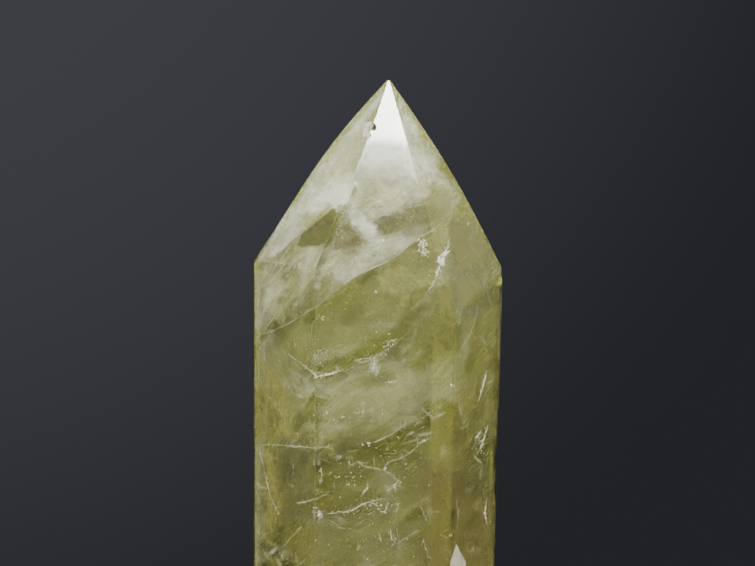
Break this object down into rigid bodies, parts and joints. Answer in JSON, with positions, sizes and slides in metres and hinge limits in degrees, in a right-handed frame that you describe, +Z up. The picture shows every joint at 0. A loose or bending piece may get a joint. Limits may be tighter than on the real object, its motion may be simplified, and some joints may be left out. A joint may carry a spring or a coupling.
{
  "type": "citrine crystal point",
  "caption": "Polished point of pale citrine quartz: an irregular six-sided prism with a slightly domed six-sided tip, standing on a flat cut base.",
  "frame": {"origin": "middle of the bounding box on the flat base that the crystal stands on", "axes": "+Z up from the base to the tip, -Y out of the broad front face, +X to the right as seen from the front"},
  "size_m": [0.0504, 0.0402, 0.1299],
  "materials": {
    "citrine": "polished, see-through, with milky veils inside"
  },
  "bodies": {
    "root": {"crystal_point": "citrine"}
  },
  "joints": []
}
